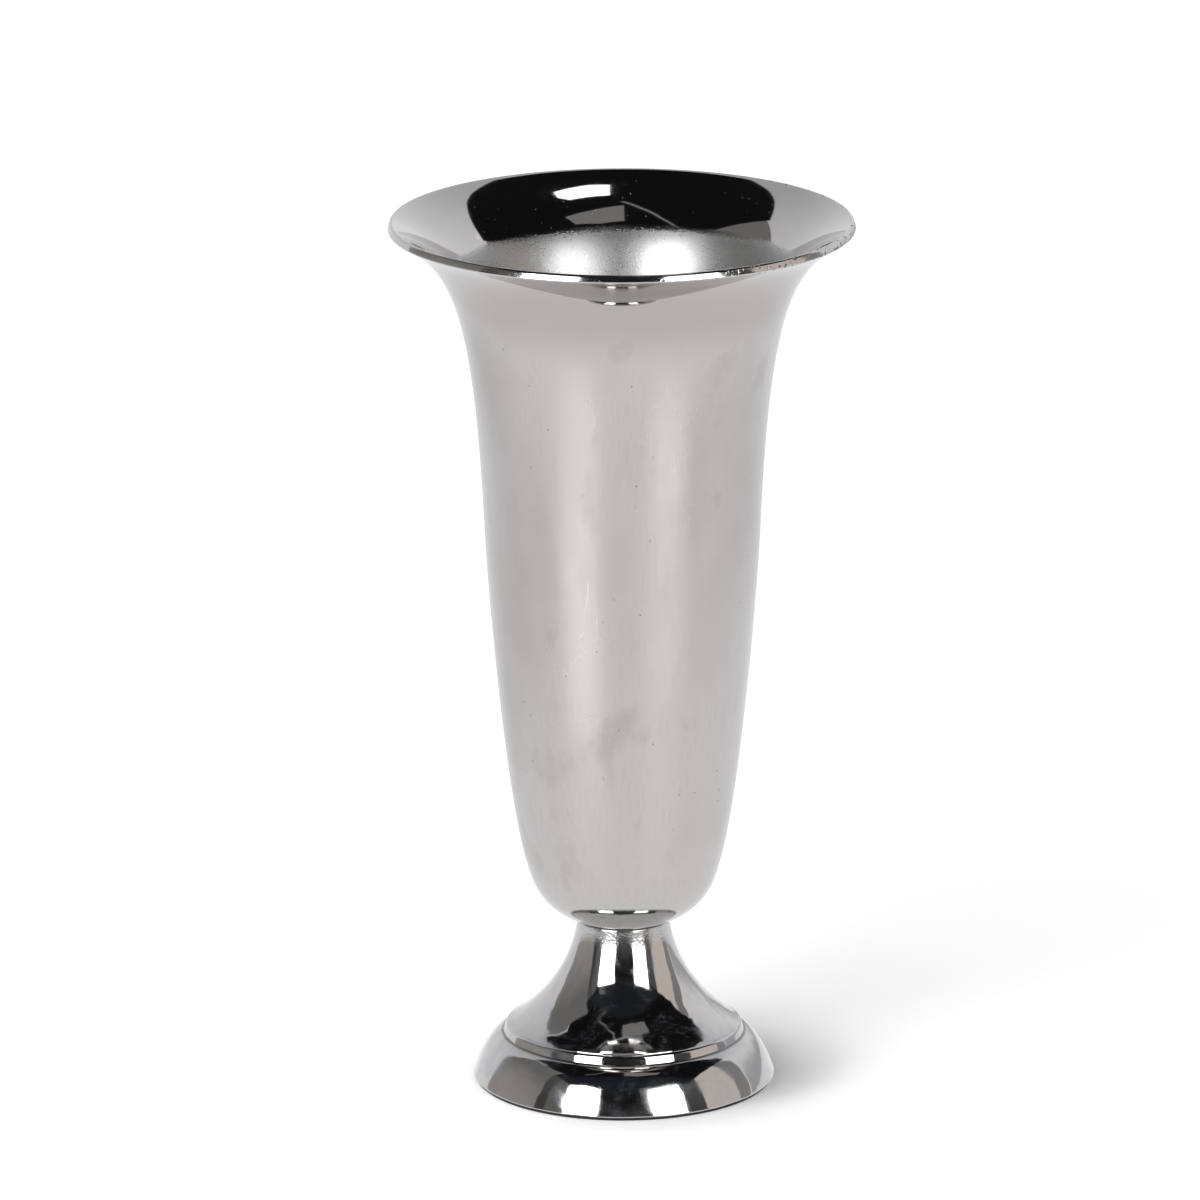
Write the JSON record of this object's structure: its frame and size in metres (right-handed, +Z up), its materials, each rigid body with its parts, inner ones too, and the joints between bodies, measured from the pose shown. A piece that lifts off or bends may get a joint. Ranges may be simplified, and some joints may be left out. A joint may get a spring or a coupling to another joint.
{
  "type": "footed flower vase",
  "caption": "Tall bell-shaped metal flower vase with a flared lip, clamped to a hollow stepped pedestal foot with a trumpet neck.",
  "frame": {"origin": "on the floor under the vase's axis, at the underside of the base pad", "axes": "+Z up along the vase's axis; the vase is round, so +X and +Y are any two level directions, with the picture taken along +Y"},
  "size_m": [0.1618, 0.1618, 0.3098],
  "materials": {
    "cup_metal": "lathe-polished, nickel-bright, faintly brushed round",
    "foot_metal": "mirror-polished, nickel-bright",
    "gasket_rubber": "matt black",
    "fastener_steel": "zinc-plated",
    "pad_felt": "black felt"
  },
  "bodies": {
    "root": {"vase_body": "cup_metal", "pedestal_foot": "foot_metal", "seat_gasket": "gasket_rubber", "threaded_stud": "fastener_steel", "clamp_washer": "fastener_steel", "spring_washer": "fastener_steel", "hex_nut": "fastener_steel", "base_pad": "pad_felt"}
  },
  "joints": []
}
